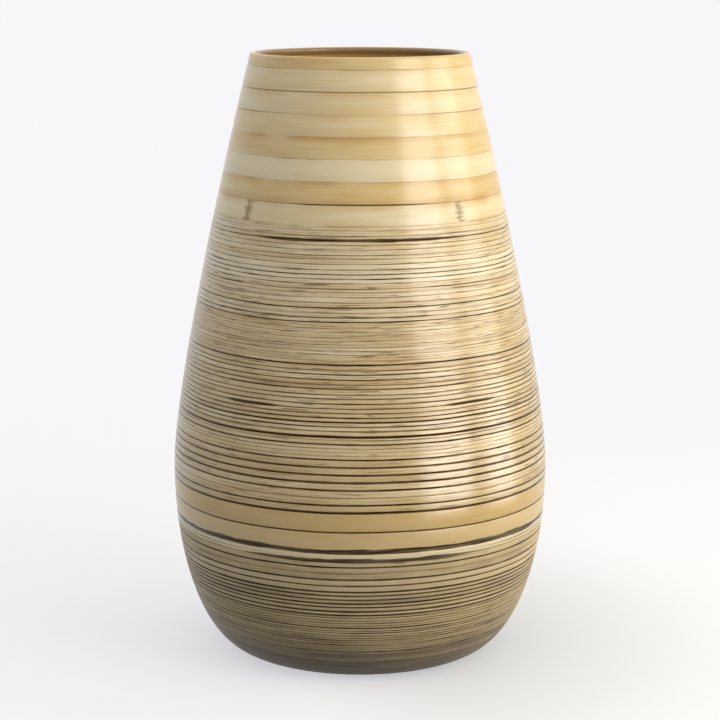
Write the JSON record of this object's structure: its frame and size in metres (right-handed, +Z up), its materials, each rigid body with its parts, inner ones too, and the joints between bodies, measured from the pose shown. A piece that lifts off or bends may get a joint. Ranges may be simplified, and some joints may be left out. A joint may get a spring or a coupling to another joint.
{
  "type": "planter",
  "caption": "Tall vase-shaped planter: a metal pot clad from lip to foot in level hoops of lacquered bamboo strip, open at the narrow mouth and standing on a flat foot disc.",
  "frame": {"origin": "on the planter's axis, in the plane of the foot disc's underside that stands on the floor", "axes": "+Z up along the axis to the mouth; -Y is the front seen in the picture; +X is the picture's right"},
  "size_m": [0.188, 0.188, 0.2995],
  "materials": {
    "bamboo_pale": "satin lacquer",
    "bamboo_tan": "satin lacquer",
    "bamboo_fine": "satin lacquer",
    "pot_metal": "satin paint",
    "disc_ply": "matt"
  },
  "bodies": {
    "root": {"foot_hoop_1": "bamboo_fine", "foot_hoop_2": "bamboo_fine", "foot_hoop_3": "bamboo_fine", "foot_hoop_4": "bamboo_fine", "foot_hoop_5": "bamboo_fine", "foot_hoop_6": "bamboo_fine", "foot_hoop_7": "bamboo_fine", "bowl_hoop_1": "bamboo_fine", "bowl_hoop_2": "bamboo_fine", "waist_hoop_1": "bamboo_fine", "waist_hoop_2": "bamboo_fine", "waist_hoop_3": "bamboo_fine", "waist_hoop_4": "bamboo_fine", "waist_hoop_5": "bamboo_fine", "streak_hoop": "bamboo_pale", "belly_hoop_1": "bamboo_tan", "belly_hoop_2": "bamboo_tan", "lined_hoop_1": "bamboo_fine", "lined_hoop_2": "bamboo_fine", "lined_hoop_3": "bamboo_fine", "lined_hoop_4": "bamboo_fine", "lined_hoop_5": "bamboo_fine", "lined_hoop_6": "bamboo_fine", "lined_hoop_7": "bamboo_fine", "lined_hoop_8": "bamboo_fine", "lined_hoop_9": "bamboo_fine", "lined_hoop_10": "bamboo_fine", "shoulder_hoop_1": "bamboo_fine", "shoulder_hoop_2": "bamboo_fine", "shoulder_hoop_3": "bamboo_fine", "shoulder_hoop_4": "bamboo_fine", "shoulder_hoop_5": "bamboo_fine", "shoulder_hoop_6": "bamboo_fine", "shoulder_hoop_7": "bamboo_fine", "shoulder_hoop_8": "bamboo_fine", "shoulder_hoop_9": "bamboo_fine", "shoulder_hoop_10": "bamboo_fine", "shoulder_hoop_11": "bamboo_fine", "knuckle_hoop": "bamboo_pale", "broad_hoop_1": "bamboo_pale", "broad_hoop_2": "bamboo_pale", "broad_hoop_3": "bamboo_pale", "broad_hoop_4": "bamboo_pale", "broad_hoop_5": "bamboo_pale", "broad_hoop_6": "bamboo_pale", "mouth_hoop": "bamboo_pale", "pot_bowl": "pot_metal", "pot_neck": "pot_metal", "foot_disc": "disc_ply"}
  },
  "joints": []
}
